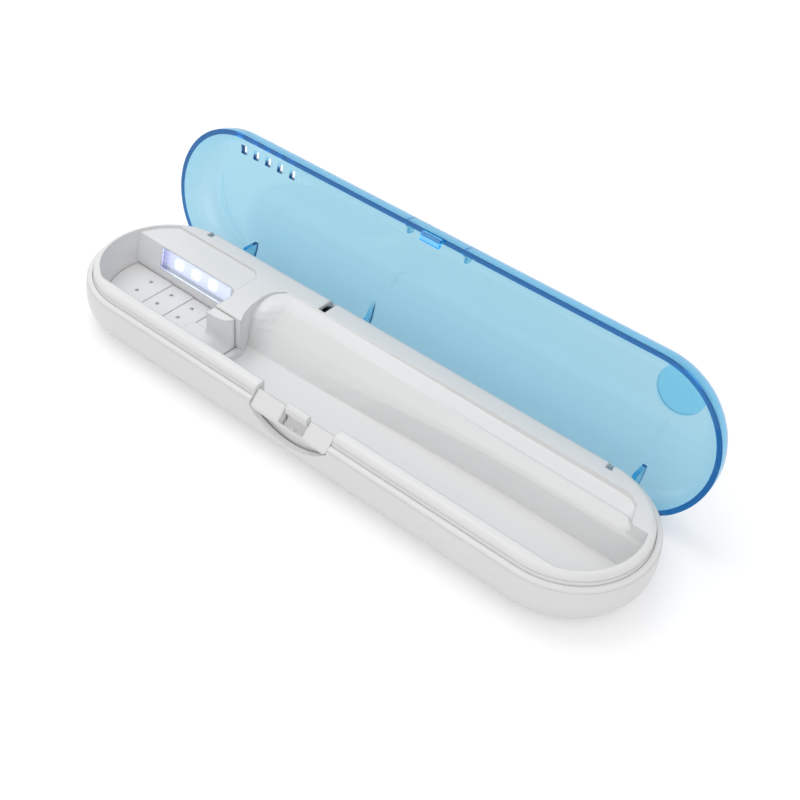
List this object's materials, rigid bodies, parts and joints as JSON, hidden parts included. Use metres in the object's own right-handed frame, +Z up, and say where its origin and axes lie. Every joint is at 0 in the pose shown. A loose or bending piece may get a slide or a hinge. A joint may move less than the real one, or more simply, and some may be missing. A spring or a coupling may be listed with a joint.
{
  "type": "electric toothbrush travel case",
  "caption": "Travel case for an electric toothbrush with a hinged clear lid, a removable drip tray, a sloping handle channel, a push latch and a battery ultraviolet lamp behind a window",
  "frame": {"origin": "Centre of the flat underside of the lower case, which stands on z = 0.", "axes": "X runs along the case with the brush head's end at -X. +Y points to the hinge. +Z is up. Drawn with the lid open."},
  "size_m": [0.23, 0.0782, 0.0574],
  "materials": {
    "case_white": "satin white",
    "tray_white": "glossy white",
    "window_clear": "clear, lit from behind",
    "board_white": "matt",
    "lamp_violet": "glossy",
    "board_green": "matt",
    "switch_black": "matt",
    "cell_jacket": "satin",
    "contact_metal": "plated",
    "steel": "plain",
    "wire_red": "matt",
    "wire_black": "matt",
    "lid_blue": "clear tinted blue, glossy"
  },
  "bodies": {
    "case": {"base_shell": "case_white", "inner_tray": "tray_white", "lamp_window": "window_clear", "lamp_board": "board_white", "lamp_leds": "lamp_violet", "control_board": "board_green", "switch_body": "switch_black", "battery_cells": "cell_jacket", "contact_plates": "contact_metal", "contact_spring": "contact_metal", "hinge_pins": "steel", "case_screws": "steel", "lamp_wires": "wire_red", "battery_wires": "wire_black", "latch_springs": "steel"},
    "lid": {"lid": "lid_blue"},
    "latch": {"latch_button": "case_white"},
    "plunger": {"switch_plunger": "switch_black"},
    "drip_tray": {"drip_tray": "tray_white"},
    "battery_door": {"battery_door": "case_white"}
  },
  "joints": [
    {"name": "lid_hinge", "type": "hinge", "parent": "case", "child": "lid", "pos_m": [0, 0.0218, 0.0089], "axis": [1, 0, 0], "range_deg": [0, 99.5]},
    {"name": "latch_slide", "type": "slide", "parent": "case", "child": "latch", "axis": [0, 1, 0], "range_m": [0, 0.0016], "stiffness_N_per_m": 500, "springref_m": -0.001, "deforming": ["latch_springs"]},
    {"name": "switch_press", "type": "slide", "parent": "case", "child": "plunger", "axis": [0, 0, -1], "range_m": [0, 0.0008]},
    {"name": "drip_tray_lift", "type": "slide", "parent": "case", "child": "drip_tray", "axis": [0, 0, 1], "range_m": [0, 0.006]},
    {"name": "battery_door_drop", "type": "slide", "parent": "case", "child": "battery_door", "axis": [0, 0, -1], "range_m": [0, 0.01]}
  ],
  "couplings": [
    {"joint": "switch_press", "follows": "lid_hinge", "m_per_rad": 0.00046}
  ]
}
